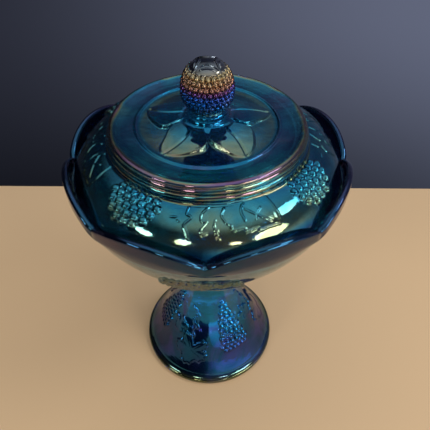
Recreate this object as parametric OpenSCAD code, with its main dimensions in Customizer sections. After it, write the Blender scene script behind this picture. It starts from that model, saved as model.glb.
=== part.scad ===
// Covered glass compote: a scalloped bowl on an eight-sided pedestal, with a
// lift-off lid and a berry-shaped knob.
// Millimetres. +Z is up, the origin is the centre of the foot where it rests,
// and a notch of the scalloped rim faces -Y.

/* [Bowl] */
// Outer radius of the lip
rim_r = 83.3; // [78:0.1:88]
// Height of the lip in the middle of a petal
rim_top = 201.3; // [198:0.1:206]
// How far the lip dips at each notch
notch_drop = 9.6; // [4:0.1:11]
// Number of petals round the lip
petals = 8; // [6:1:12]
// Thickness of the bowl's wall
bowl_wall = 6; // [5:0.1:8]
// Height where the bowl sits on the stem
bowl_base = 109; // [109:0.5:112]
// Height of the floor inside the bowl
bowl_floor = 119; // [117:0.5:126]
// Height of the ledge that carries the lid
ledge_z = 188; // [185:0.1:190]
// Inner radius of the lip above the ledge
lip_inner_r = 79.4; // [79.4:0.1:79.8]

/* [Pedestal] */
// Radius of the foot
foot_r = 54.3; // [50:0.1:60]
// Height of the foot's upright edge
foot_edge = 4.5; // [3:0.1:6]
// Radius of the foot where its cone meets the stem's flare
flare_r = 30; // [28:0.1:32]
// Height where the foot's cone meets the stem's flare
flare_z = 41; // [38:0.5:44]
// How far the foot's slope is hollowed below a straight cone
foot_dish = 1.4; // [0:0.1:2]
// Distance across the stem's flats at its waist
stem_flats = 25; // [22:0.1:30]
// Height of the stem's waist
waist_z = 92; // [88:0.5:96]
// Number of flat panels round the stem
panels = 8; // [6:1:8]
// Radial thickness of the hollow foot
foot_wall = 6; // [5:0.1:8]
// Height of the hollow under the foot
hollow_top = 48; // [40:0.5:52]

/* [Lid] */
// Radius of the lid at its seat
lid_r = 78.6; // [77.6:0.1:78.8]
// Thickness of the lid's shoulder
lid_wall = 4.5; // [4:0.1:6]
// Radius at the foot of the collar
collar_r = 56.9; // [56:0.1:58]
// Height where the shoulder meets the collar
collar_base = 208.8; // [208:0.1:209.5]
// Radius of the raised disc on top
disc_r = 54.5; // [53:0.1:55.5]
// Height of the disc's edge
disc_z = 218.8; // [218:0.1:220]
// Height of the disc where it meets the knob
neck_z = 222; // [221:0.1:224]
// Gap between the lid and its ledge
seat_gap = 0.3; // [0.2:0.05:0.5]

/* [Knob] */
// Radius of the berry
berry_r = 14.4; // [13:0.1:16]
// Total height of the compote
total_h = 254; // [252:0.5:256]
// Radius of the knob's neck
neck_r = 9.6; // [8:0.1:11]

/* [Hidden] */
$fn = 96;
eps = 0.01;

// The bowl's section is one round arc from the stem up to the lip.
bowl_root_r = 16;
bowl_root_z = 109;
bowl_top_z = 190;
bowl_sagitta = 11;
chord = [rim_r - bowl_root_r, bowl_top_z - bowl_root_z];
chord_len = norm(chord);
bowl_arc_r = (chord_len * chord_len / 4 + bowl_sagitta * bowl_sagitta) / (2 * bowl_sagitta);
arc_back = (bowl_arc_r - bowl_sagitta) / chord_len;
bowl_arc_x = (rim_r + bowl_root_r) / 2 - chord[1] * arc_back;
bowl_arc_z = (bowl_top_z + bowl_root_z) / 2 + chord[0] * arc_back;

// Each petal of the lip is an arc that rises by notch_drop over its chord.
half_petal = rim_r * sin(180 / petals);
petal_r = (half_petal * half_petal + notch_drop * notch_drop) / (2 * notch_drop);
petal_z = rim_top - petal_r;
petal_in = 60;
petal_len = 40;
wall_below = rim_top - notch_drop - 6;

// The foot's cone, its hollow, and the dome that closes the hollow.
foot_lip_r = foot_r - 1.8;
foot_chamfer = 0.8;
foot_shoulder = 2;
dish_steps = 10;
dish_peak = 0.58; // the greatest value of sin(180 t) * (1 - t)
cone_slope = (foot_lip_r - flare_r) / (flare_z - foot_edge);
cone_angle = atan(cone_slope);
cone_top_r = foot_lip_r + cone_slope * foot_edge;
hollow_r = cone_top_r - foot_wall;
dome_k = cos(cone_angle);
dome_r = dome_k * (hollow_r - cone_slope * hollow_top) / (1 - dome_k * cone_slope);
dome_z = hollow_top - dome_r;
dome_join_z = dome_z + dome_r * sin(cone_angle);
dome_join_r = dome_r * dome_k;

// The stem's panels and the round flare behind them.
flare_run = waist_z - flare_z;
corner_r = stem_flats / 2 / cos(180 / panels);
corner_room = 0.5;
stem_r = corner_r + corner_room;
flare_rise = flare_r - stem_r;
flare_arc_r = (flare_run * flare_run + flare_rise * flare_rise) / (2 * flare_rise);
panel_rise = (flare_r - corner_room) * cos(180 / panels) - stem_flats / 2;
panel_arc_r = (flare_run * flare_run + panel_rise * panel_rise) / (2 * panel_rise);
panel_len = 90;

// The lid's shoulder is a round arc that ends at the collar.
shoulder_x = 53.5;
shoulder_z = 183.4;
shoulder_r = norm([collar_r - shoulder_x, collar_base - shoulder_z]);
lid_base = ledge_z + seat_gap;
collar_in = 50.5;
disc_thick = 5.5;
ring_r = 39.7;
disc_dish = 1.4;
ring_z = disc_z - disc_dish;
edge_round = 1.8;
step_z = collar_base + 4.6;
step_out = 1.6;
groove_r = 1.4;
collar_bead = 2;
ring_bead = 1;
neck_flare = 11.4;
neck_slope = [5, 1.6];

// The knob's neck carries two rounded rings.
berry_z = total_h - berry_r;
ring_tube = 1.5;
ring_inset = 0.6;

bowl_blue = [0.05, 0.33, 0.42, 0.55];
foot_blue = [0.05, 0.24, 0.40, 0.55];
lid_teal = [0.06, 0.40, 0.45, 0.55];
knob_bronze = [0.40, 0.30, 0.30, 0.80];

// A rectangle given by its low and high corners.
module box2(x0, z0, x1, z1) {
    translate([x0, z0])
        square([x1 - x0, z1 - z0]);
}

// ---- Bowl ----

module bowl_section() {
    difference() {
        intersection() {
            translate([bowl_arc_x, bowl_arc_z])
                circle(r = bowl_arc_r, $fn = 180);
            box2(0, bowl_base, rim_r, rim_top + eps);
        }
        intersection() {
            translate([bowl_arc_x, bowl_arc_z])
                circle(r = bowl_arc_r - bowl_wall, $fn = 180);
            box2(-1, bowl_floor, rim_r, ledge_z + eps);
        }
        box2(-1, ledge_z, lip_inner_r, rim_top + 1);
    }
}

// Everything under the scalloped line: one drum per petal, and the wall below.
module petal_drums() {
    cylinder(r = rim_r + 1, h = wall_below);
    for (i = [0 : petals - 1])
        rotate([0, 0, -90 + (i + 0.5) * 360 / petals])
            translate([petal_in, 0, petal_z])
                rotate([0, 90, 0])
                    cylinder(r = petal_r, h = petal_len, $fn = 120);
}

module bowl() {
    color(bowl_blue)
        intersection() {
            rotate_extrude()
                bowl_section();
            petal_drums();
        }
}

// ---- Pedestal ----

// A point on the foot's slope: share runs from 0 at its edge to 1 at the flare.
// The hollow is deepest low down and fades out smoothly towards the flare.
function dished_slope(share) = [
    foot_lip_r + (flare_r - foot_lip_r) * share
        - foot_dish * sin(180 * share) * (1 - share) / dish_peak,
    foot_edge + (flare_z - foot_edge) * share
];

module pedestal_section() {
    difference() {
        union() {
            polygon([
                [0, 0],
                [foot_r - foot_chamfer, 0],
                [foot_r, foot_chamfer],
                [foot_r, foot_edge - foot_shoulder],
                for (i = [0 : dish_steps]) dished_slope(i / dish_steps),
                [0, flare_z]
            ]);
            difference() {
                box2(0, flare_z - eps, flare_r + 1, bowl_base);
                translate([stem_r + flare_arc_r, waist_z])
                    circle(r = flare_arc_r, $fn = 180);
            }
        }
        polygon([
            [-1, -1],
            [hollow_r + cone_slope, -1],
            [dome_join_r, dome_join_z],
            [-1, dome_join_z]
        ]);
        intersection() {
            translate([0, dome_z])
                circle(r = dome_r, $fn = 120);
            box2(-1, dome_join_z - eps, dome_r, hollow_top + 1);
        }
    }
}

// One drum per panel: its side presses a hollow-flared flat into the stem.
module stem_panels() {
    for (i = [0 : panels - 1])
        rotate([0, 0, -90 + (i + 0.5) * 360 / panels])
            translate([stem_flats / 2 + panel_arc_r, panel_len / 2, waist_z])
                rotate([90, 0, 0])
                    cylinder(r = panel_arc_r, h = panel_len, $fn = 180);
}

module pedestal() {
    color(foot_blue)
        difference() {
            rotate_extrude()
                pedestal_section();
            stem_panels();
        }
}

// ---- Lid ----

// The lid filled in solid: shoulder, collar and dished disc.
module lid_outside() {
    intersection() {
        translate([shoulder_x, shoulder_z])
            circle(r = shoulder_r);
        box2(collar_in, lid_base, lid_r, disc_z);
    }
    polygon([
        [0, lid_base],
        [shoulder_x, lid_base],
        [collar_r, collar_base - collar_bead],
        [collar_r, collar_base + collar_bead / 2],
        [disc_r + step_out, step_z],
        [disc_r, disc_z - edge_round],
        [disc_r - edge_round, disc_z],
        [ring_r, ring_z],
        [neck_flare + neck_slope[0], neck_z - neck_slope[1]],
        [neck_flare, neck_z],
        [0, neck_z]
    ]);
    translate([ring_r, ring_z])
        circle(r = ring_bead);
}

// The room under the lid.
module lid_inside() {
    intersection() {
        translate([shoulder_x, shoulder_z])
            circle(r = shoulder_r - lid_wall);
        box2(collar_in - 1, lid_base - 1, lid_r, disc_z);
    }
    polygon([
        [-1, lid_base - 1],
        [shoulder_x, lid_base - 1],
        [shoulder_x, shoulder_z + shoulder_r - lid_wall],
        [collar_in, shoulder_z + shoulder_r - lid_wall],
        [collar_in, disc_z - disc_thick],
        [ring_r, ring_z - disc_thick],
        [-1, ring_z - disc_thick]
    ]);
}

module lid() {
    color(lid_teal)
        rotate_extrude()
            difference() {
                lid_outside();
                lid_inside();
                translate([disc_r + step_out + groove_r / 2, step_z + groove_r])
                    circle(r = groove_r);
            }
}

// ---- Knob ----

module knob_section() {
    intersection() {
        union() {
            translate([0, berry_z])
                circle(r = berry_r);
            box2(0, neck_z, neck_r, berry_z);
            translate([neck_r, neck_z + ring_tube])
                circle(r = ring_tube);
            translate([neck_r - ring_inset, neck_z + 3 * ring_tube])
                circle(r = ring_tube);
        }
        box2(0, neck_z, berry_r + 1, total_h + 1);
    }
}

module knob() {
    color(knob_bronze)
        rotate_extrude()
            knob_section();
}

bowl();
pedestal();
lid();
knob();
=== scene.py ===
"""Looks for a covered compote of iridescent blue-green pressed glass.

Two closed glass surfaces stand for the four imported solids: the footed bowl and
the lid with its knob. Each is one surface of revolution whose rings are bent
into petals and flats and then raised into grapes, leaves and vines.
Lengths below are millimetres until build_mesh() turns them into metres.
Azimuth 0 faces -Y and turns towards +X.
"""

import math

import bpy
import numpy as np
from mathutils import Euler, Matrix, Vector


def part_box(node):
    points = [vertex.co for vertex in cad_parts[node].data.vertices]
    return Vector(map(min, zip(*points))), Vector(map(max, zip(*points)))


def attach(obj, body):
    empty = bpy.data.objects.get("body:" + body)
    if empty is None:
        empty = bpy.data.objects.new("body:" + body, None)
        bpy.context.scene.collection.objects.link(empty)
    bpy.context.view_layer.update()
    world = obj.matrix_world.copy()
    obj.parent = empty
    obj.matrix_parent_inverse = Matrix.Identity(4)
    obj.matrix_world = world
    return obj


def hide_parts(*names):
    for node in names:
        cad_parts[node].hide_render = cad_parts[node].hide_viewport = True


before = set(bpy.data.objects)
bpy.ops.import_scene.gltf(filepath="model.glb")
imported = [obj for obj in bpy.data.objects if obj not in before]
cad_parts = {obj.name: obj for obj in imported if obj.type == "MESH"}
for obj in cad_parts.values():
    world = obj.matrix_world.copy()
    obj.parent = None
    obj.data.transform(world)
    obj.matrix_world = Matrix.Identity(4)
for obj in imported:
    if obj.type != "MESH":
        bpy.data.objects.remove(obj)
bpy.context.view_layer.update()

MM = 0.001
rng = np.random.default_rng(8)


# ---------------------------------------------------------------- sizes

def node_box(name):
    """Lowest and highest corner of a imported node, in millimetres."""
    low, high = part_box(name)
    return np.array(low) / MM, np.array(high) / MM


bowl_high = node_box("bowl")[1]
foot_high = node_box("pedestal")[1]
lid_low = node_box("lid")[0]
knob_high = node_box("knob")[1]

RIM_R = bowl_high[0] - 0.2
RIM_TOP = bowl_high[2] - 0.2
NOTCH_DROP = 9.6  # from the top of a petal down to the notch beside it
PETALS = 8
STEM_TOP = foot_high[2]
FOOT_R = foot_high[0] - 0.1
LID_SEAT = lid_low[2]
TOTAL_H = knob_high[2]
PANELS = 8  # flat panels round the stem

COARSE, PLAIN, MEDIUM, COLS = 128, 256, 512, 1024  # points round a ring, by how fine its shape is


# ---------------------------------------------------------------- curves

def arc(cx, cz, radius, start, end, count):
    """Points on a circle in the (r, z) plane, angles in degrees from +r."""
    a = np.radians(np.linspace(start, end, count))
    return np.c_[cx + radius * np.cos(a), cz + radius * np.sin(a)]


def line(start, end, count):
    return np.linspace(start, end, count)


def smooth(points, count, closed=False):
    """A Catmull-Rom curve through a few points, resampled evenly."""
    p = np.array(points, float)
    if closed:
        p = np.vstack([p[-1], p, p[0], p[1]])
    else:
        p = np.vstack([2 * p[0] - p[1], p, 2 * p[-1] - p[-2]])
    t = np.linspace(0, 1, 16, endpoint=False)[:, None]
    spans = []
    for a, b, c, d in zip(p[:-3], p[1:-2], p[2:-1], p[3:]):
        spans.append(0.5 * (2 * b + (c - a) * t + (2 * a - 5 * b + 4 * c - d) * t ** 2
                            + (3 * b - a - 3 * c + d) * t ** 3))
    fine = np.vstack(spans + [p[-2][None]])
    along = np.r_[0, np.cumsum(np.hypot(*np.diff(fine, axis=0).T))]
    at = np.linspace(0, along[-1], count)
    return np.c_[np.interp(at, along, fine[:, 0]), np.interp(at, along, fine[:, 1])]


def ease(x):
    x = np.clip(x, 0, 1)
    return x * x * (3 - 2 * x)


def wrap(angle):
    """Degrees brought into -180 to 180."""
    return (angle + 180) % 360 - 180


# ---------------------------------------------------------------- relief motifs
# Each motif works on flat local coordinates: x round the piece, y along the
# outline away from the motif's root, both in millimetres. It returns height.

def beads(x, y, centres, radius, height):
    """Domed grapes, pressed shoulder to shoulder."""
    out = np.zeros_like(x)
    for cx, cy in centres:
        d2 = ((x - cx) ** 2 + (y - cy) ** 2) / radius ** 2
        out = np.maximum(out, height * np.clip(1 - d2, 0, 1) ** 0.62)
    return out


def cluster(rows, pitch, row_gap, start, jitter=0.1):
    """Centres of a bunch of grapes: one count per row, alternate rows nesting."""
    centres = []
    for k, count in enumerate(rows):
        for i in range(count):
            x = (i - (count - 1) / 2) * pitch
            y = start + k * row_gap
            centres.append((x + rng.normal(0, jitter), y + rng.normal(0, jitter)))
    return centres


def distance(x, y, route):
    """Distance from every point to a polyline."""
    best = np.full(x.shape, 1e9)
    for (ax, ay), (bx, by) in zip(route[:-1], route[1:]):
        dx, dy = bx - ax, by - ay
        length2 = dx * dx + dy * dy + 1e-12
        t = np.clip(((x - ax) * dx + (y - ay) * dy) / length2, 0, 1)
        best = np.minimum(best, np.hypot(x - ax - t * dx, y - ay - t * dy))
    return best


def ridge(x, y, route, width, height):
    """A raised round line along a route."""
    near = (x > route[:, 0].min() - width) & (x < route[:, 0].max() + width)
    near &= (y > route[:, 1].min() - width) & (y < route[:, 1].max() + width)
    out = np.zeros_like(x)
    d = distance(x[near], y[near], route) / width
    out[near] = height * np.sqrt(np.clip(1 - d * d, 0, 1))
    return out


def leaf_radius(angle, lobes, depth, teeth):
    """How far a lobed leaf reaches at each angle from its tip, as a share of its size."""
    lobe = np.abs(np.cos(lobes * angle / 2)) ** 0.6
    notch = ease((np.pi - np.abs(angle)) / 0.7)
    edge = 1 - depth + depth * lobe + 0.045 * np.cos(teeth * angle)
    return edge * (0.42 + 0.58 * notch)


def leaf(x, y, centre, size, turn, height, lobes=5, depth=0.36):
    """A grape leaf: a softly domed plateau with a fine raised edge and sunk veins to the lobes."""
    a = math.radians(turn)
    dx, dy = x - centre[0], y - centre[1]
    lx = dx * math.cos(a) + dy * math.sin(a)
    ly = -dx * math.sin(a) + dy * math.cos(a)
    rho = np.hypot(lx, ly)
    phi = np.arctan2(lx, ly)
    reach = size * leaf_radius(phi, lobes, depth, 4 * lobes + 1)
    share = np.clip(rho / (reach + 1e-6), 0, 2)
    inside = ease((reach - rho) / 0.9 + 0.5)
    edge = np.exp(-((reach - rho - 0.5) / 0.55) ** 2)
    vein = np.zeros_like(rho)
    for k in range(-(lobes // 2), lobes // 2 + 1):
        v = 2 * math.pi * k / lobes
        off = np.abs(rho * np.sin(phi - v))
        ahead = np.cos(phi - v) > 0
        vein = np.maximum(vein, np.exp(-(off / 0.35) ** 2) * ahead * ease((0.8 * reach - rho) / 4))
    blade = 0.6 + 0.35 * (1 - share ** 2)
    blade = blade + 0.12 * np.cos(lobes * phi) * share * (share < 1)
    return height * inside * (blade + 0.45 * edge - 0.14 * vein)


def curl(start, radius, turns, heading, count=26, squeeze=0.25):
    """A tendril that winds up into a spiral."""
    t = np.linspace(0, 1, count)
    a = math.radians(heading) + t * turns * 2 * math.pi
    step = radius * 2 * math.pi * abs(turns) / count * (1 - t * (1 - squeeze))
    p = np.cumsum(np.c_[np.cos(a) * step, np.sin(a) * step], axis=0)
    return p + np.array(start)


# ---------------------------------------------------------------- surface builder

def band(points, cols, bend=None, relief=None):
    return {"points": np.array(points, float), "cols": cols, "bend": bend, "relief": relief}


def band_rings(b):
    """The band's grid of radius and height after bending and relief."""
    azimuth = np.arange(b["cols"]) * 360 / b["cols"]
    az = np.tile(azimuth, (len(b["points"]), 1))
    r = np.repeat(b["points"][:, :1], b["cols"], axis=1)
    z = np.repeat(b["points"][:, 1:], b["cols"], axis=1)
    flat = np.r_[0, np.cumsum(np.hypot(*np.diff(b["points"], axis=0).T))]
    s = np.repeat(flat[:, None], b["cols"], axis=1)
    if b["bend"]:
        r, z = b["bend"](az, r, z)
    if b["relief"]:
        dr, dz = np.gradient(r, axis=0), np.gradient(z, axis=0)
        size = np.hypot(dr, dz) + 1e-9
        h = b["relief"](az, s, r, z)
        r = r + h * dz / size
        z = z - h * dr / size
    return az, r, z


def build_mesh(name, bands, materials):
    """Joins bands into one closed surface. The first and last ring shrink to a pole."""
    rings = []
    for k, b in enumerate(bands):
        az, r, z = band_rings(b)
        a = np.radians(az)
        xyz = np.stack([r * np.sin(a), -r * np.cos(a), z], axis=-1) * MM
        rings += [(row, k) for row in xyz]
    starts, verts, total = [], [], 1
    first_z, last_z = rings[0][0][:, 2].mean(), rings[-1][0][:, 2].mean()
    verts.append(np.array([[0, 0, first_z]]))
    for row, _ in rings:
        starts.append(total)
        verts.append(row)
        total += len(row)
    verts.append(np.array([[0, 0, last_z]]))
    faces, owner = [], []

    def add(block, k):
        faces.append(block)
        owner.append(np.full(len(block), k))

    def ring_ids(i):
        return starts[i] + np.arange(len(rings[i][0]))

    low = ring_ids(0)
    add(np.c_[np.zeros(len(low), int), np.roll(low, -1), low], rings[0][1])
    for i in range(len(rings) - 1):
        lo, hi, k = ring_ids(i), ring_ids(i + 1), rings[i + 1][1]
        if len(lo) == len(hi):
            add(np.c_[lo, np.roll(lo, -1), np.roll(hi, -1), hi], k)
        elif len(lo) == 2 * len(hi):
            even, odd, after = lo[0::2], lo[1::2], np.roll(lo[0::2], -1)
            add(np.c_[even, odd, hi], k)
            add(np.c_[odd, np.roll(hi, -1), hi], k)
            add(np.c_[odd, after, np.roll(hi, -1)], k)
        else:
            even, odd, after = hi[0::2], hi[1::2], np.roll(hi[0::2], -1)
            add(np.c_[lo, odd, even], k)
            add(np.c_[lo, np.roll(lo, -1), odd], k)
            add(np.c_[np.roll(lo, -1), after, odd], k)
    high = ring_ids(len(rings) - 1)
    add(np.c_[high, np.roll(high, -1), np.full(len(high), total)], rings[-1][1])

    coords = np.vstack(verts)
    loops = np.concatenate([f.ravel() for f in faces])
    sizes = np.concatenate([np.full(len(f), f.shape[1]) for f in faces])
    mesh = bpy.data.meshes.new(name)
    mesh.vertices.add(len(coords))
    mesh.vertices.foreach_set("co", coords.astype(np.float32).ravel())
    mesh.loops.add(len(loops))
    mesh.loops.foreach_set("vertex_index", loops.astype(np.int32))
    mesh.polygons.add(len(sizes))
    mesh.polygons.foreach_set("loop_start", np.r_[0, np.cumsum(sizes)[:-1]].astype(np.int32))
    for m in dict.fromkeys(materials):
        mesh.materials.append(m)
    slot = {m: i for i, m in enumerate(dict.fromkeys(materials))}
    index = np.array([slot[m] for m in materials])[np.concatenate(owner)]
    mesh.polygons.foreach_set("material_index", index.astype(np.int32))
    mesh.polygons.foreach_set("use_smooth", np.ones(len(sizes), bool))
    mesh.update(calc_edges=True)
    mesh.validate()
    piece = bpy.data.objects.new(name, mesh)
    bpy.context.scene.collection.objects.link(piece)
    return piece


# ---------------------------------------------------------------- footed bowl

BOWL_ARC = (-43.1, 226.1, 131.1)  # centre r, centre z and radius of the bowl's outline
BOWL_WALL = 6.0
BOWL_FLOOR = 119.0
LEDGE_Z = LID_SEAT - 0.3
LIP_INNER = 79.4
FOOT_EDGE = 4.5
FOOT_DISH = 1.4  # how far the foot's slope is hollowed below a straight cone
DISH_PEAK = 0.58  # the greatest value of sin(pi t) * (1 - t)
FLARE_R, FLARE_Z = 30.0, 41.0
WAIST_Z = 92.0
STEM_FLAT = 12.5  # from the axis to a flat, at the waist
HOLLOW_TOP = 48.0
FOOT_WALL = 6  # radial, between the foot's slope and its hollow
PETAL_SPAN, PETAL_ROUND = 0.93, 0.62  # share of a petal that its arc covers, and how round it is
NOTCH_WIDTH, NOTCH_DEPTH = 2.2, 0.7  # the crease that runs down from each notch


def bowl_r(z, wall=0.0):
    cx, cz, radius = BOWL_ARC
    return cx + np.sqrt((radius - wall) ** 2 - (z - cz) ** 2)


def petal_line(az):
    """How far the lip stands below its highest point: a round arc over each petal."""
    half = 180 / PETALS
    phi = np.abs(wrap(az) % (2 * half) - half) / half
    drop = 1 - np.sqrt(np.clip(1 - (phi * PETAL_SPAN) ** 2 * PETAL_ROUND, 0, 1))
    deepest = 1 - math.sqrt(1 - 0.865 * PETAL_ROUND)
    return NOTCH_DROP * drop / deepest


def raise_petals(low_z, high_z):
    """Lowers everything between two heights to follow the scalloped lip."""
    def bend(az, r, z):
        share = ease((z - low_z) / (high_z - low_z))
        drop = petal_line(az)
        off = wrap(az * PETALS) / 360 * 2 * math.pi * RIM_R / PETALS
        crease = np.exp(-(off / NOTCH_WIDTH) ** 2)
        return r - share * crease * NOTCH_DEPTH, z - share * drop
    return bend


def stem_shape(az, r, z):
    """Turns the round stem into an eight-sided one with a ridge at the front."""
    step = 360 / PANELS
    local = np.radians((az % step) - step / 2)
    flat = math.cos(math.pi / PANELS) / np.cos(local)
    hold = ease((z - 26) / 20)
    crisp = 1 + (flat - 1) * hold
    return r * crisp, z


def stem_radius(z):
    """Radius to the stem's ridges, from the foot's cone up to the bowl."""
    run = WAIST_Z - FLARE_Z
    waist = STEM_FLAT / math.cos(math.pi / PANELS)
    rise = FLARE_R - waist
    radius = (run * run + rise * rise) / (2 * rise)
    return waist + radius - np.sqrt(radius ** 2 - (z - WAIST_Z) ** 2)


FOOT_MOTIFS, BOWL_MOTIFS, LID_MOTIFS, DISC_LEAVES = 3, 4, 4, 5  # repeats round the axis

BUNCH_FOOT = cluster([1, 2, 2, 3, 3, 4, 4, 5, 5, 6, 6, 7, 6], 3.9, 3.55, 0)
BUNCH_BOWL = cluster([2, 3, 4, 5, 6, 6, 5], 4.0, 3.9, 53)


# Where each tendril leaves the foot's vine, how wide and how far it winds, and its first heading.
TENDRILS = (((2, 9), 2.6, 0.9, 20), ((3, 18), 2.8, -0.9, 150),
            ((1, 26), 3.0, 0.9, 10), ((2, 14), 3.4, -0.8, 170))


def foot_relief(az, s, r, z):
    """Three bunches of grapes and three leaves with tendrils, turn about."""
    height = np.zeros_like(az)
    turn = 360 / FOOT_MOTIFS
    top, slope = 60, 0.62
    for k in range(FOOT_MOTIFS):
        x = np.radians(wrap(az - 35 - turn * k)) * r
        y = (top - z) / math.cos(math.atan(slope))
        near = (np.abs(x) < 22) & (y > -6) & (y < 60)
        part = beads(x[near], y[near], BUNCH_FOOT, 2.25, 1.7)
        height[near] = np.maximum(height[near], part)

        x = np.radians(wrap(az + 27 - turn * k)) * r
        near = (np.abs(x) < 26) & (y > -10) & (y < 66)
        xs, ys = x[near], y[near]
        part = leaf(xs, ys, (4, 41), 14.5, 12, 1.1)
        vine = smooth([(-3, 3), (2, 9), (3, 18), (1, 27), (4, 36)], 24)
        part = np.maximum(part, ridge(xs, ys, vine, 0.75, 0.9))
        for start, radius, turns, heading in TENDRILS:
            part = np.maximum(part, ridge(xs, ys, curl(start, radius, turns, heading), 0.6, 0.8))
        small = leaf(xs, ys, (-11, 25), 7.5, -30, 0.9)
        part = np.maximum(part, small)
        height[near] = np.maximum(height[near], part)
    return height


def bowl_relief(az, s, r, z):
    """Bunches and leaves round the lower part of the bowl."""
    height = np.zeros_like(az)
    y = s + 34
    turn = 360 / BOWL_MOTIFS
    for k in range(BOWL_MOTIFS):
        x = np.radians(wrap(az + 10.5 - turn * k)) * r
        near = (np.abs(x) < 18) & (y > 46) & (y < 82)
        part = beads(x[near], y[near], BUNCH_BOWL, 2.25, 2.0)
        height[near] = np.maximum(height[near], part)
        x = np.radians(wrap(az - 7 - turn * k)) * r
        near = (np.abs(x) < 20) & (y > 34) & (y < 84)
        xs, ys = x[near], y[near]
        part = leaf(xs, ys, (0, 67), 12.0, 180, 1.7)
        stalk = smooth([(0, 64), (-3, 52), (2, 40)], 16)
        part = np.maximum(part, ridge(xs, ys, stalk, 0.8, 1.1))
        height[near] = np.maximum(height[near], part)
    return height


def base_bands():
    slope = (FOOT_R - 1.8 - FLARE_R) / (FLARE_Z - FOOT_EDGE)
    hollow = FOOT_R - 1.8 + slope * FOOT_EDGE - FOOT_WALL
    lean = math.degrees(math.atan(slope))
    k = math.cos(math.radians(lean))
    dome = k * (hollow - slope * HOLLOW_TOP) / (1 - k * slope)
    dome_z = HOLLOW_TOP - dome
    under = arc(0, dome_z, dome, 89, lean, 26)
    inner = line(under[-1], (hollow, 1.2), 16)[1:]
    sole = smooth([(hollow + 0.1, 1.0), (hollow + 1.4, 0.2), (FOOT_R - 1.6, 0.2),
                   (FOOT_R - 0.2, 1.2)], 12)
    edge = smooth([(FOOT_R, 1.6), (FOOT_R, 3.0), (FOOT_R - 0.7, 4.3), (FOOT_R - 2.2, 5.2),
                   (FOOT_R - 4.2, 7.2)], 12)
    cone_z = np.linspace(8.0, FLARE_Z, 60)
    climb = (cone_z - FOOT_EDGE) / (FLARE_Z - FOOT_EDGE)
    hollowed = FOOT_DISH * np.sin(np.pi * climb) * (1 - climb) / DISH_PEAK
    cone = np.c_[FOOT_R - 1.8 - slope * (cone_z - FOOT_EDGE) - hollowed, cone_z]
    flare_z = np.linspace(FLARE_Z, 68, 42)[1:]
    flare = np.c_[stem_radius(flare_z), flare_z]
    stem_z = np.linspace(69, STEM_TOP - 3, 34)
    stem = np.c_[stem_radius(stem_z), stem_z]
    root = smooth([(stem[-1, 0] + 0.3, STEM_TOP - 2.2), (18.5, STEM_TOP + 0.8),
                   (bowl_r(112.5), 112.5)], 8)
    plain_z = np.linspace(113.2, 134, 20)
    plain = np.c_[bowl_r(plain_z), plain_z]
    lower_z = np.linspace(134.6, 175, 92)
    lower = np.c_[bowl_r(lower_z), lower_z]
    wall_z = np.linspace(176, 185.5, 10)
    wall = np.c_[bowl_r(wall_z), wall_z]
    lip_mid = (RIM_R + LIP_INNER) / 2
    half = (RIM_R - LIP_INNER) / 2
    lip = np.vstack([
        smooth([(bowl_r(186.5), 186.5), (RIM_R - 0.5, 189.5), (RIM_R, 193),
                (RIM_R, RIM_TOP - half)], 18),
        arc(lip_mid, RIM_TOP - half, half, 12, 168, 14),
        line((LIP_INNER, RIM_TOP - half - 0.5), (LIP_INNER, LEDGE_Z + 1.2), 10),
    ])
    ledge = smooth([(LIP_INNER - 0.1, LEDGE_Z + 0.5), (LIP_INNER - 0.7, LEDGE_Z), (77.2, LEDGE_Z),
                    (bowl_r(LEDGE_Z - 1.4, BOWL_WALL), LEDGE_Z - 1.4)], 10)
    inside_z = np.linspace(LEDGE_Z - 2.4, 130, 40)
    inside = np.c_[bowl_r(inside_z, BOWL_WALL), inside_z]
    floor = smooth([(36.0, 128.6), (27.0, 122.6), (16.0, BOWL_FLOOR + 0.6), (6.0, BOWL_FLOOR),
                    (1.0, BOWL_FLOOR)], 20)
    petals = raise_petals(182.0, 199.0)
    return [
        ("foot", band(under[:6], COARSE)),
        ("foot", band(under[6:], PLAIN)),
        ("foot", band(inner, PLAIN)),
        ("foot", band(sole, PLAIN)),
        ("foot", band(edge, MEDIUM)),
        ("foot", band(cone, COLS, stem_shape, foot_relief)),
        ("foot", band(flare, COLS, stem_shape, foot_relief)),
        ("foot", band(stem, MEDIUM, stem_shape)),
        ("bowl", band(root, MEDIUM)),
        ("bowl", band(plain, MEDIUM)),
        ("bowl", band(lower, COLS, None, bowl_relief)),
        ("bowl", band(wall, MEDIUM, petals)),
        ("rim", band(lip, MEDIUM, petals)),
        ("bowl", band(ledge, MEDIUM)),
        ("bowl", band(inside, PLAIN)),
        ("bowl", band(floor, COARSE)),
    ]


# ---------------------------------------------------------------- lid and knob

SHOULDER = (53.5, 183.4, 25.6)  # centre r, centre z and radius of the shoulder's outline
LID_WALL = 4.5
DISC_Z = 218.8
RING_R = 39.7
MOTIF_R = 66  # radius at which the shoulder's motifs have their true width
BERRY_Z = 237.5
BERRY_R = 13.15
BEAD_GAP = 2.8

BUNCH_LID = cluster([6, 7, 6, 5, 3], 4.7, 3.75, 1.8)


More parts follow.
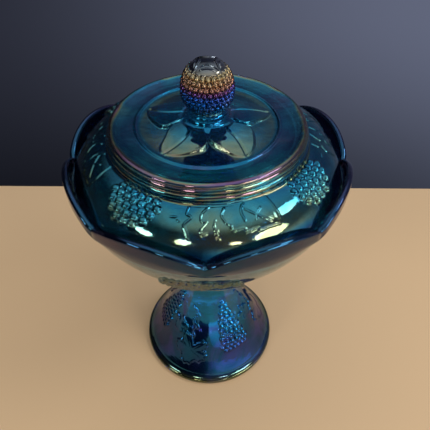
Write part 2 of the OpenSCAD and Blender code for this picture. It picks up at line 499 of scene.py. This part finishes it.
# Thin raised lines of one leaf with its vine: x from the motif's middle, y down from the collar.
LEAF_LINES = [smooth(route, 40) for route in (
    [(25, 0), (26, 6), (26.5, 11), (25.5, 15.5)],
    [(25.5, 15.5), (20, 15), (15.5, 15.5), (14.5, 13.8), (9.2, 14.6), (8.6, 12.6), (3.2, 12.8),
     (2.4, 10.4), (0, 8.5)],
    [(0, 8.5), (-1.5, 5), (0.5, 1.5)],
    [(11.5, 0), (8.6, 4), (9.5, 9)],
    [(11, 3.5), (16.5, 8), (22, 12.5)],
    [(19, 4.5), (16, 7), (15, 9.5)],
    [(-4.5, 7), (-5.2, 10), (-3.6, 12.6), (-5, 11.6), (-3.4, 16.5)],
    [(-7.5, 0.3), (-11.3, 4.4), (-11.1, 7.7), (-8.5, 8), (-11.4, 11.7), (-10.5, 14.4),
     (-8.8, 13.6)],
    [(-18, 0.8), (-18.8, 4.5), (-16.2, 6), (-19.2, 9.6), (-18, 13), (-16.8, 16.3)],
    [(-26, 7), (-23, 7), (-22, 8.5)],
)]


def shoulder_relief(az, s, r, z):
    """Four bunches of grapes, with a leaf and a vine in outline between each pair."""
    height = np.zeros_like(az)
    y = s.max() - s
    turn = 360 / LID_MOTIFS
    for k in range(LID_MOTIFS):
        x = np.radians(wrap(az + 34 - turn * k)) * MOTIF_R
        near = (np.abs(x) < 22) & (y < 22)
        part = beads(x[near], y[near], BUNCH_LID, 2.5, 1.9)
        height[near] = np.maximum(height[near], part)

        x = np.radians(wrap(az - 8 - turn * k)) * MOTIF_R
        near = np.abs(x) < 30
        xs, ys = x[near], y[near]
        part = height[near]
        for route in LEAF_LINES:
            part = np.maximum(part, ridge(xs, ys, route, 0.55, 0.45))
        height[near] = part
    return height


def disc_relief(az, s, r, z):
    """Five broad leaves that slope down from the knob, inside a raised ring."""
    height = np.zeros_like(az)
    a = np.radians(az)
    px, py = r * np.sin(a), -r * np.cos(a)
    slope = DISC_Z + 3.4 - (r - 12) * 0.21
    for k in range(DISC_LEAVES):
        t = math.radians(-38 + 360 / DISC_LEAVES * k)
        x = px * math.cos(t) + py * math.sin(t)
        y = px * math.sin(t) - py * math.cos(t)
        share = np.clip((y - 9) / 27.5, 0, 1)
        bend = 2.5 * np.sin(math.pi * share)
        swell = 0.95 - 0.07 * np.cos(3 * math.pi * share)
        half = 12.5 * np.sin(math.pi * share ** 0.85) ** 0.7 * swell
        across = np.abs(x - bend) / np.maximum(half, 0.1)
        inside = ease((1 - across) * half / 0.8 + 0.5) * (y > 9) * (half > 0.5)
        blade = np.maximum(slope - z, 0.4) + 0.12 * across ** 2
        groove = 0.45 * np.exp(-((x - bend) / 0.6) ** 2)
        side = 0.07 * np.cos(y + 0.5 * np.abs(x - bend)) * np.clip(across * 2, 0, 1)
        side = side * (1 - across ** 2) * (across < 1)
        height = np.maximum(height, inside * (blade - groove + side))
    ring = 1.0 * np.exp(-((r - RING_R) / 0.5) ** 2)
    return np.maximum(height * ease((r - 12.6) / 2.5) * ease((RING_R - 1 - r) / 2), ring)


def berry_profile(phi):
    """The knob's egg shape: phi runs from 0 underneath to 180 at the top."""
    a = np.radians(phi)
    below, above = BERRY_Z - 226.2, TOTAL_H - 1.2 - BERRY_Z
    r = BERRY_R * np.sin(a) ** 0.8
    z = BERRY_Z - np.where(np.cos(a) > 0, below, above) * np.cos(a)
    return np.c_[r, z]


def berry_relief(az, s, r, z):
    """Rows of small beads, under a cap of scalloped leaves drawn as raised outlines."""
    height = np.zeros_like(az)
    rows = int(s.max() / (BEAD_GAP * 0.88))
    for k in range(rows):
        at = (k + 0.5) * s.max() / rows
        ring = np.abs(s[:, 0] - at) < BEAD_GAP
        here = np.interp(at, s[:, 0], r[:, 0])
        count = max(4, int(round(2 * math.pi * here / BEAD_GAP)))
        step = 360 / count
        turned = az[ring] + (k % 2) * step / 2 + rng.uniform(-3, 3)
        x = np.radians(turned % step - step / 2) * here
        d2 = (x ** 2 + (s[ring] - at) ** 2) / (BEAD_GAP * 0.54) ** 2
        height[ring] = np.maximum(height[ring], 1.45 * np.clip(1 - d2, 0, 1) ** 0.7)
    down = s.max() - s
    fold = np.abs((az + 45) % 90 - 45) / 45
    arch = 3.4 + 6.4 * (1 - np.sqrt(1 - 0.96 * fold ** 2))
    cap = ease((9.4 - down) / 0.9 + 0.5)
    outline = np.exp(-((arch - down) / 0.45) ** 2)
    rib = np.exp(-((arch + 2.4 - down) / 0.4) ** 2) * ease((0.7 - fold) / 0.2)
    return height * (1 - cap) + cap * (0.4 + 0.7 * outline + 0.5 * rib)


def lid_bands():
    cx, cz, radius = SHOULDER
    top_in = DISC_Z - 5.6
    under = smooth([(0.8, top_in), (20, top_in), (40, top_in - 0.3), (48.5, top_in - 0.6),
                    (50.6, top_in - 2.6), (51.2, 207.5), (53.2, 205.0)], 44)
    inner = arc(cx, cz, radius - LID_WALL, 82, 15, 26)
    seat_in = inner[-1]
    seat = smooth([(seat_in[0] + 0.1, seat_in[1] - 0.5), (seat_in[0] + 1.0, LID_SEAT),
                   (77.6, LID_SEAT), (78.45, LID_SEAT + 0.9)], 12)
    start = math.degrees(math.asin((seat[-1, 1] + 0.7 - cz) / radius))
    shoulder = arc(cx, cz, radius, start, 80, 78)
    collar = smooth([(57.25, 208.95), (56.85, 209.8), (56.75, 211.6), (56.1, 212.7), (55.5, 213.0),
                     (55.75, 213.9), (55.9, 215.0), (55.3, 216.1), (54.75, 216.5), (54.85, 217.3),
                     (54.3, 218.3), (53.0, 218.75), (51.6, 218.55)], 44)
    disc = smooth([(51.0, 218.3), (46.0, 217.6), (RING_R, 217.2), (32.0, 217.0), (22.0, 217.9),
                   (15.5, 219.9), (12.6, 221.7)], 74)
    neck = smooth([(12.0, 222.2), (11.6, 223.2), (10.9, 224.0), (9.9, 224.2), (9.8, 224.7),
                   (10.9, 225.1), (11.1, 225.9), (10.3, 226.7), (9.7, 227.0)], 26)
    berry = berry_profile(np.linspace(46, 179, 120))
    return [
        ("lid", band(under[:8], COARSE)),
        ("lid", band(under[8:], PLAIN)),
        ("lid", band(inner, PLAIN)),
        ("lid", band(seat, MEDIUM)),
        ("lid", band(shoulder, COLS, None, shoulder_relief)),
        ("lid", band(collar, MEDIUM)),
        ("lid", band(disc, MEDIUM, None, disc_relief)),
        ("lid", band(neck, PLAIN)),
        ("knob", band(berry, MEDIUM, None, berry_relief)),
    ]


# ---------------------------------------------------------------- materials

class Nodes:
    """Short calls for building one material's node tree."""

    def __init__(self, name):
        self.material = bpy.data.materials.new(name)
        self.material.use_nodes = True
        self.tree = self.material.node_tree
        self.tree.nodes.clear()
        self.shader = self.node("ShaderNodeBsdfPrincipled")
        out = self.node("ShaderNodeOutputMaterial")
        self.link(self.shader.outputs["BSDF"], out.inputs["Surface"])

    def node(self, kind, **values):
        n = self.tree.nodes.new(kind)
        for key, value in values.items():
            setattr(n, key, value)
        return n

    def link(self, source, target):
        self.tree.links.new(source, target)

    def ramp(self, fac, stops):
        n = self.node("ShaderNodeValToRGB")
        while len(n.color_ramp.elements) < len(stops):
            n.color_ramp.elements.new(1.0)
        for e, (at, colour) in zip(n.color_ramp.elements, stops):
            e.position = at
            e.color = (*colour, 1)
        self.link(fac, n.inputs["Fac"])
        return n.outputs["Color"]

    def noise(self, coord, scale, detail=2.0, distortion=0.0):
        n = self.node("ShaderNodeTexNoise")
        n.inputs["Scale"].default_value = scale
        n.inputs["Detail"].default_value = detail
        n.inputs["Distortion"].default_value = distortion
        self.link(coord, n.inputs["Vector"])
        return n.outputs["Fac"]

    def map_range(self, value, a, b, c, d):
        n = self.node("ShaderNodeMapRange")
        for key, x in (("From Min", a), ("From Max", b), ("To Min", c), ("To Max", d)):
            n.inputs[key].default_value = x
        self.link(value, n.inputs["Value"])
        return n.outputs["Result"]

    def math(self, kind, a, b):
        n = self.node("ShaderNodeMath", operation=kind)
        for i, x in enumerate((a, b)):
            if isinstance(x, (int, float)):
                n.inputs[i].default_value = x
            else:
                self.link(x, n.inputs[i])
        return n.outputs[0]

    def mix(self, fac, a, b):
        n = self.node("ShaderNodeMix", data_type="RGBA")
        n.inputs[7].default_value = (*b, 1)
        self.link(fac, n.inputs["Factor"])
        self.link(a, n.inputs[6])
        return n.outputs[2]


FILM_MAX = 400.0  # nanometres: a colour ramp holds only 0 to 1, so film stops are a share of this
GLASS_IOR = 1.52
FILM_WANDER = 7  # millimetres that the film's bands stray to either side
BUMP_STRENGTH, BUMP_DEPTH = 0.25, 0.0010


def glass(name, along, reach, film, tint, film_ior, painted_sheen, drift=14.0, metallic=0.0, rough=0.03):
    """Pressed glass under an iridescent, faintly metallic film.

    along is "radius" or "height"; film and tint are stops over that measure as
    a share of reach: film thickness in nanometres, and the colour of the glass,
    which in the foot's stem is partly painted light.
    The pair after film_ior is the colour of cloudy patches of painted iridescent
    sheen, mixed into the base colour, and how strongly they show. drift is how
    far the thickness varies from place to place, in nanometres.
    """
    m = Nodes(name)
    coord = m.node("ShaderNodeTexCoord").outputs["Object"]
    parts = m.node("ShaderNodeSeparateXYZ")
    m.link(coord, parts.inputs[0])
    if along == "radius":
        x2 = m.math("MULTIPLY", parts.outputs[0], parts.outputs[0])
        y2 = m.math("MULTIPLY", parts.outputs[1], parts.outputs[1])
        measure = m.math("SQRT", m.math("ADD", x2, y2), 0.0)
    else:
        measure = parts.outputs[2]
    broad = m.noise(coord, 22.0, 2.0, 0.8)
    fine = m.noise(coord, 75.0, 3.0, 0.4)
    wander = m.math("MULTIPLY", m.math("SUBTRACT", broad, 0.5), FILM_WANDER * MM)
    share = m.math("DIVIDE", m.math("ADD", measure, wander), reach * MM)
    base = m.ramp(share, [(at, (nm / FILM_MAX,) * 3) for at, nm in film])
    swing = m.math("ADD", m.math("MULTIPLY", broad, 0.75), m.math("MULTIPLY", fine, 0.25))
    spread = m.map_range(swing, 0.3, 0.7, -drift, drift)
    thickness = m.math("ADD", m.math("MULTIPLY", base, FILM_MAX), spread)
    m.link(thickness, m.shader.inputs["Thin Film Thickness"])
    # Painted iridescent sheen: cloudy patches of the sheen colour mixed into the base colour
    painted_sheen_patches = m.map_range(m.noise(coord, 38.0, 3.0, 1.5), 0.46, 0.66, 0, painted_sheen[1])
    m.link(m.mix(painted_sheen_patches, m.ramp(share, tint), painted_sheen[0]), m.shader.inputs["Base Color"])
    m.link(m.map_range(fine, 0.3, 0.75, rough * 0.6, rough * 2), m.shader.inputs["Roughness"])
    m.shader.inputs["Thin Film IOR"].default_value = film_ior
    m.shader.inputs["IOR"].default_value = GLASS_IOR
    m.shader.inputs["Transmission Weight"].default_value = 1.0
    m.shader.inputs["Metallic"].default_value = metallic
    bump = m.node("ShaderNodeBump")
    bump.inputs["Strength"].default_value = BUMP_STRENGTH
    bump.inputs["Distance"].default_value = BUMP_DEPTH
    m.link(m.noise(coord, 75.0, 3.0), bump.inputs["Height"])
    m.link(bump.outputs["Normal"], m.shader.inputs["Normal"])
    return m.material


# The last colour pair in each look is painted iridescent sheen, mixed into the base colour in cloudy
# patches.
looks = {
    "foot": glass(
        "foot_glass_look", "height", 110,
        [(0.0, 226), (0.04, 218), (0.06, 182), (0.10, 164), (0.26, 162), (0.38, 172), (0.8, 168)],
        # Tint: dark navy low on the foot; from share 0.42 up, the stem's blue is partly the glass's
        # colour and partly painted light, lightened to stand in for lamp light seen through the stem.
        [(0.0, (0.06, 0.05, 0.03)), (0.035, (0.05, 0.05, 0.05)), (0.07, (0.012, 0.025, 0.10)),
         (0.30, (0.01, 0.10, 0.26)), (0.42, (0.03, 0.36, 0.80)), (0.9, (0.03, 0.42, 0.90))],
        film_ior=2.0, painted_sheen=((0.10, 0.06, 0.52), 0.8), drift=10.0, metallic=0.32, rough=0.08),
    "bowl": glass(
        "bowl_glass_look", "height", 200,
        [(0.55, 245), (0.67, 244), (0.75, 264), (0.80, 278), (0.85, 258), (0.90, 228), (0.94, 205)],
        [(0.55, (0.16, 0.40, 0.42)), (0.75, (0.15, 0.42, 0.60)), (0.90, (0.10, 0.34, 0.54))],
        film_ior=1.8, painted_sheen=((0.30, 0.24, 0.42), 0.5), drift=24.0, metallic=0.20, rough=0.04),
    "rim": glass(
        "rim_glass_look", "height", 200,
        [(0.94, 188), (0.98, 180)],
        [(0.94, (0.010, 0.020, 0.07)), (0.99, (0.012, 0.020, 0.06))],
        film_ior=1.85, painted_sheen=((0.05, 0.02, 0.07), 0.8), metallic=0.15),
    "lid": glass(
        "lid_glass_look", "radius", 80,
        [(0.14, 168), (0.24, 180), (0.34, 204), (0.45, 222), (0.49, 162), (0.64, 176),
         (0.665, 262), (0.685, 260), (0.695, 178), (0.71, 252), (0.72, 174), (0.82, 188),
         (0.90, 214), (0.93, 212), (0.96, 168)],
        [(0.14, (0.01, 0.18, 0.38)), (0.50, (0.01, 0.24, 0.42)), (0.70, (0.03, 0.17, 0.23)),
         (0.90, (0.04, 0.18, 0.20)), (0.98, (0.01, 0.04, 0.14))],
        film_ior=2.0, painted_sheen=((0.03, 0.42, 0.60), 0.8), drift=28.0, metallic=0.20, rough=0.06),
    "knob": glass(
        "knob_glass_look", "height", 254,
        [(0.885, 178), (0.900, 166), (0.912, 140), (0.944, 132), (0.956, 112), (0.975, 102),
         (0.988, 50), (0.995, 25)],
        [(0.885, (0.01, 0.14, 0.24)), (0.905, (0.01, 0.02, 0.09)), (0.938, (0.015, 0.01, 0.14)),
         (0.952, (0.10, 0.03, 0.05)), (0.962, (0.34, 0.22, 0.09)), (0.977, (0.42, 0.36, 0.22)),
         (0.990, (0.05, 0.06, 0.07))],
        film_ior=2.3, painted_sheen=((0.20, 0.06, 0.03), 0.35), drift=8.0, metallic=0.5, rough=0.025),
}


def glass_piece(name, parts, body, nodes):
    piece = build_mesh(name, [b for _, b in parts], [looks[key] for key, _ in parts])
    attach(piece, body)
    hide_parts(*nodes)
    return piece


glass_piece("footed_bowl_glass", base_bands(), "base", ("bowl", "pedestal"))
glass_piece("lid_glass", lid_bands(), "cover", ("lid", "knob"))


# ---------------------------------------------------------------- stage, light, camera

def stage_floor():
    """A pale table whose far edge is a little behind the object."""
    half, near, far, drop = 0.9, -0.9, 0.186, -0.0002
    corners = [(-half, near, drop), (half, near, drop), (half, far, drop), (-half, far, drop)]
    mesh = bpy.data.meshes.new("table")
    mesh.from_pydata(corners, [], [(0, 1, 2, 3)])
    table = bpy.data.objects.new("table", mesh)
    bpy.context.scene.collection.objects.link(table)
    m = Nodes("table_look")
    m.shader.inputs["Base Color"].default_value = (0.80, 0.54, 0.302, 1)
    m.shader.inputs["Roughness"].default_value = 0.7
    mesh.materials.append(m.material)


def soft_light(name, azimuth, height, away, target, size, power, colour):
    """A soft box at an azimuth and elevation, in degrees, facing a point on the axis."""
    a, e = math.radians(azimuth), math.radians(height)
    target = np.array([0, 0, target])
    place = target + away * np.array([math.sin(a) * math.cos(e), -math.cos(a) * math.cos(e), math.sin(e)])
    data = bpy.data.lights.new(name, "AREA")
    data.shape = "ELLIPSE"
    data.size, data.size_y = size
    data.energy = power
    data.color = colour
    lamp = bpy.data.objects.new(name, data)
    lamp.location = place
    lamp.rotation_mode = "QUATERNION"
    lamp.rotation_quaternion = Vector(target - place).to_track_quat("-Z", "Y")
    bpy.context.scene.collection.objects.link(lamp)


def set_world():
    """A dark slate room, lighter towards +X, softly bright overhead and low down at front right."""
    world = bpy.data.worlds.new("studio")
    world.use_nodes = True
    tree = world.node_tree

    def ranged(value, low, high, out_low, out_high):
        n = tree.nodes.new("ShaderNodeMapRange")
        n.interpolation_type = "SMOOTHSTEP"
        for key, x in (("From Min", low), ("From Max", high), ("To Min", out_low), ("To Max", out_high)):
            n.inputs[key].default_value = x
        tree.links.new(value, n.inputs["Value"])
        return n.outputs["Result"]

    def dotted(value, axis):
        n = tree.nodes.new("ShaderNodeVectorMath")
        n.operation = "DOT_PRODUCT"
        n.inputs[1].default_value = axis
        tree.links.new(value, n.inputs[0])
        return n.outputs["Value"]

    def mixed(kind, fac, a, b):
        n = tree.nodes.new("ShaderNodeMix")
        n.data_type = "RGBA"
        n.blend_type = kind
        for socket, x in ((n.inputs["Factor"], fac), (n.inputs[6], a), (n.inputs[7], b)):
            if isinstance(x, (int, tuple)):
                socket.default_value = x
            else:
                tree.links.new(x, socket)
        return n.outputs[2]

    direction = tree.nodes.new("ShaderNodeTexCoord").outputs["Generated"]
    split = tree.nodes.new("ShaderNodeSeparateXYZ")
    tree.links.new(direction, split.inputs[0])
    side, up = split.outputs[0], split.outputs[2]
    dim_slate, pale_slate = (0.020, 0.022, 0.034, 1), (0.120, 0.135, 0.200, 1)
    wall = mixed("MIX", ranged(side, -0.55, 0.50, 0, 1), dim_slate, pale_slate)
    wall = mixed("MULTIPLY", 1, wall, ranged(up, -0.72, -0.32, 0.2, 1.0))
    lean = math.radians(8)
    overhead = dotted(direction, (0, math.sin(lean), math.cos(lean)))
    sky = mixed("MULTIPLY", 1, (1.0, 1.02, 1.0, 1), ranged(overhead, 0.60, 0.96, 0, 0.78))
    total = mixed("ADD", 1, wall, sky)
    window = math.radians(44)
    toward = dotted(direction, (math.sin(window), -math.cos(window), 0))
    low = mixed("MULTIPLY", 1, (0.95, 0.98, 1.0, 1), ranged(toward, 0.62, 0.96, 0, 0.80))
    low = mixed("MULTIPLY", 1, low, ranged(up, 0.36, 0.10, 0, 1))
    total = mixed("ADD", 1, total, low)
    tree.links.new(total, tree.nodes["Background"].inputs["Color"])
    bpy.context.scene.world = world


def set_camera():
    """The viewpoint of the photograph: above the front, looking down at 45.8 degrees."""
    data = bpy.data.cameras.new("camera")
    data.lens = 36.84
    data.sensor_width = 36.0
    pitch, roll_by, place = 45.8, 0.38, (0.0044, -0.2066, 0.3559)
    camera = bpy.data.objects.new("camera", data)
    tilt = Euler((math.radians(90 - pitch), 0, 0)).to_matrix().to_4x4()
    roll = Matrix.Rotation(math.radians(roll_by), 4, "Z")
    camera.matrix_world = Matrix.Translation(place) @ tilt @ roll
    bpy.context.scene.collection.objects.link(camera)
    bpy.context.scene.camera = camera


stage_floor()
set_world()
soft_light("left", -52, 26, 1.5, 0.15, (0.40, 0.26), 2.8, (1.0, 0.98, 0.92))
soft_light("front_left", -18, 28, 1.5, 0.15, (0.28, 0.28), 1.5, (1.0, 0.98, 0.90))
soft_light("front_right", 22, 24, 1.5, 0.15, (0.22, 0.14), 0.9, (1.0, 0.98, 0.90))
soft_light("right", 50, 24, 1.5, 0.15, (0.75, 0.42), 6.5, (1.0, 0.98, 0.92))
soft_light("high_right", 84, 46, 1.6, 0.15, (0.6, 0.4), 4.4, (0.95, 0.98, 1.0))
bpy.context.scene.view_settings.view_transform = "Standard"
set_camera()
